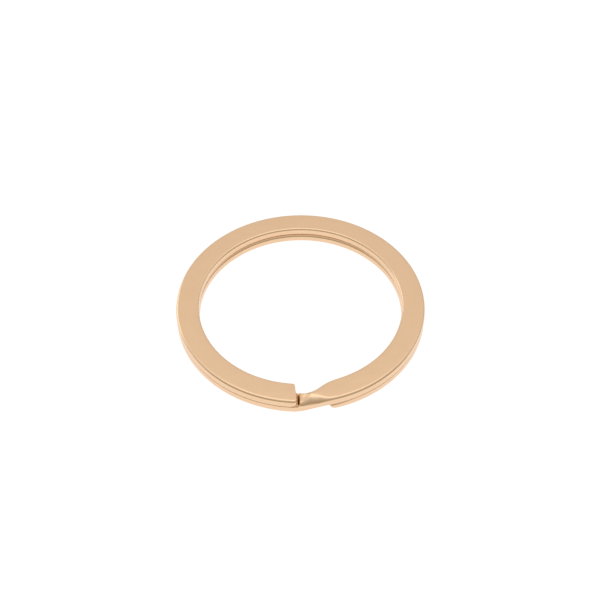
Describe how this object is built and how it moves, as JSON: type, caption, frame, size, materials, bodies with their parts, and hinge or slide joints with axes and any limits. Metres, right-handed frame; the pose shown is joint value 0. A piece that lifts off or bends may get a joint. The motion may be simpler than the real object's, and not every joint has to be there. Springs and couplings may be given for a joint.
{
  "type": "split key ring",
  "caption": "Split key ring coiled from flat spring wire: stacked turns joined by a stepped crossover, with free ends that pry apart to thread a key on.",
  "frame": {"origin": "centre of the ring, on the underside it lies on", "axes": "+Z is the ring's axis, from the lower turn to the upper one; the middle of the crossover, where the wire climbs from one turn to the other, is at -Y; seen from above the wire climbs anticlockwise, towards +X"},
  "size_m": [0.03, 0.03, 0.002],
  "materials": {
    "ring_wire": "satin rose gold plating over spring steel, burnished brighter on the long edges",
    "crossover_wire": "satin rose gold plating over spring steel, drawn and burnished where the wire was stepped"
  },
  "bodies": {
    "crossover": {"crossover": "crossover_wire", "upper_lead": "crossover_wire", "lower_lead": "crossover_wire"},
    "upper_root": {"upper_root": "ring_wire"},
    "upper_right": {"upper_right": "ring_wire"},
    "upper_back_right": {"upper_back_right": "ring_wire"},
    "upper_back": {"upper_back": "ring_wire"},
    "upper_back_left": {"upper_back_left": "ring_wire"},
    "upper_left": {"upper_left": "ring_wire"},
    "upper_front_left": {"upper_front_left": "ring_wire"},
    "upper_free_end": {"upper_free_end": "ring_wire"},
    "lower_root": {"lower_root": "ring_wire"},
    "lower_left": {"lower_left": "ring_wire"},
    "lower_back_left": {"lower_back_left": "ring_wire"},
    "lower_back": {"lower_back": "ring_wire"},
    "lower_back_right": {"lower_back_right": "ring_wire"},
    "lower_right": {"lower_right": "ring_wire"},
    "lower_front_right": {"lower_front_right": "ring_wire"},
    "lower_free_end": {"lower_free_end": "ring_wire"}
  },
  "joints": [
    {"name": "upper_root_bend", "type": "hinge", "parent": "crossover", "child": "upper_root", "pos_m": [0.00521, -0.01258, 0.00151], "axis": [0.9239, 0.3827, 0], "range_deg": [0, 0.157], "stiffness_Nm_per_rad": 0.01},
    {"name": "upper_right_bend", "type": "hinge", "parent": "upper_root", "child": "upper_right", "pos_m": [0.01223, -0.00599, 0.00151], "axis": [0.4397, 0.8981, 0], "range_deg": [0, 0.839], "stiffness_Nm_per_rad": 0.01},
    {"name": "upper_back_right_bend", "type": "hinge", "parent": "upper_right", "child": "upper_back_right", "pos_m": [0.01314, 0.0036, 0.00151], "axis": [-0.2643, 0.9644, 0], "range_deg": [0, 1.74], "stiffness_Nm_per_rad": 0.01},
    {"name": "upper_back_bend", "type": "hinge", "parent": "upper_back_right", "child": "upper_back", "pos_m": [0.00747, 0.01139, 0.00151], "axis": [-0.8362, 0.5485, 0], "range_deg": [0, 2.4], "stiffness_Nm_per_rad": 0.01},
    {"name": "upper_back_left_bend", "type": "hinge", "parent": "upper_back", "child": "upper_back_left", "pos_m": [-0.00193, 0.01348, 0.00151], "axis": [-0.9899, -0.1418, 0], "range_deg": [0, 2.5], "stiffness_Nm_per_rad": 0.01},
    {"name": "upper_left_bend", "type": "hinge", "parent": "upper_back_left", "child": "upper_left", "pos_m": [-0.01037, 0.00883, 0.00151], "axis": [-0.6486, -0.7611, 0], "range_deg": [0, 1.99], "stiffness_Nm_per_rad": 0.01},
    {"name": "upper_front_left_bend", "type": "hinge", "parent": "upper_left", "child": "upper_front_left", "pos_m": [-0.01362, -0.00023, 0.00151], "axis": [0.017, -0.9999, 0], "range_deg": [0, 1.11], "stiffness_Nm_per_rad": 0.01},
    {"name": "upper_free_end_bend", "type": "hinge", "parent": "upper_front_left", "child": "upper_free_end", "pos_m": [-0.01006, -0.00918, 0.00151], "axis": [0.6741, -0.7386, 0], "range_deg": [0, 0.319], "stiffness_Nm_per_rad": 0.01},
    {"name": "lower_root_bend", "type": "hinge", "parent": "crossover", "child": "lower_root", "pos_m": [-0.00521, -0.01258, 0.00049], "axis": [-0.9239, 0.3827, 0], "range_deg": [0, 0.18], "stiffness_Nm_per_rad": 0.01},
    {"name": "lower_left_bend", "type": "hinge", "parent": "lower_root", "child": "lower_left", "pos_m": [-0.01221, -0.00604, 0.00049], "axis": [-0.4437, 0.8962, 0], "range_deg": [0, 0.878], "stiffness_Nm_per_rad": 0.01},
    {"name": "lower_back_left_bend", "type": "hinge", "parent": "lower_left", "child": "lower_back_left", "pos_m": [-0.01317, 0.00348, 0.00049], "axis": [0.2559, 0.9667, 0], "range_deg": [0, 1.77], "stiffness_Nm_per_rad": 0.01},
    {"name": "lower_back_bend", "type": "hinge", "parent": "lower_back_left", "child": "lower_back", "pos_m": [-0.00762, 0.01129, 0.00049], "axis": [0.8289, 0.5594, 0], "range_deg": [0, 2.42], "stiffness_Nm_per_rad": 0.01},
    {"name": "lower_back_right_bend", "type": "hinge", "parent": "lower_back", "child": "lower_back_right", "pos_m": [0.0017, 0.01351, 0.00049], "axis": [0.9922, -0.1245, 0], "range_deg": [0, 2.5], "stiffness_Nm_per_rad": 0.01},
    {"name": "lower_right_bend", "type": "hinge", "parent": "lower_back_right", "child": "lower_right", "pos_m": [0.01017, 0.00906, 0.00049], "axis": [0.6651, -0.7468, 0], "range_deg": [0, 1.98], "stiffness_Nm_per_rad": 0.01},
    {"name": "lower_front_right_bend", "type": "hinge", "parent": "lower_right", "child": "lower_front_right", "pos_m": [0.01362, 0.00012, 0.00049], "axis": [0.0092, -1, 0], "range_deg": [0, 1.1], "stiffness_Nm_per_rad": 0.01},
    {"name": "lower_free_end_bend", "type": "hinge", "parent": "lower_front_right", "child": "lower_free_end", "pos_m": [0.01034, -0.00887, 0.00049], "axis": [-0.6513, -0.7588, 0], "range_deg": [0, 0.316], "stiffness_Nm_per_rad": 0.01}
  ],
  "couplings": [
    {"joint": "upper_root_bend", "follows": "upper_back_left_bend", "ratio": 0.0624},
    {"joint": "upper_right_bend", "follows": "upper_back_left_bend", "ratio": 0.33514},
    {"joint": "upper_back_right_bend", "follows": "upper_back_left_bend", "ratio": 0.69428},
    {"joint": "upper_back_bend", "follows": "upper_back_left_bend", "ratio": 0.96024},
    {"joint": "upper_left_bend", "follows": "upper_back_left_bend", "ratio": 0.79369},
    {"joint": "upper_front_left_bend", "follows": "upper_back_left_bend", "ratio": 0.44448},
    {"joint": "upper_free_end_bend", "follows": "upper_back_left_bend", "ratio": 0.127},
    {"joint": "lower_root_bend", "follows": "lower_back_right_bend", "ratio": 0.07135},
    {"joint": "lower_left_bend", "follows": "lower_back_right_bend", "ratio": 0.3506},
    {"joint": "lower_back_left_bend", "follows": "lower_back_right_bend", "ratio": 0.7082},
    {"joint": "lower_back_bend", "follows": "lower_back_right_bend", "ratio": 0.96737},
    {"joint": "lower_right_bend", "follows": "lower_back_right_bend", "ratio": 0.78997},
    {"joint": "lower_front_right_bend", "follows": "lower_back_right_bend", "ratio": 0.44109},
    {"joint": "lower_free_end_bend", "follows": "lower_back_right_bend", "ratio": 0.12582}
  ]
}
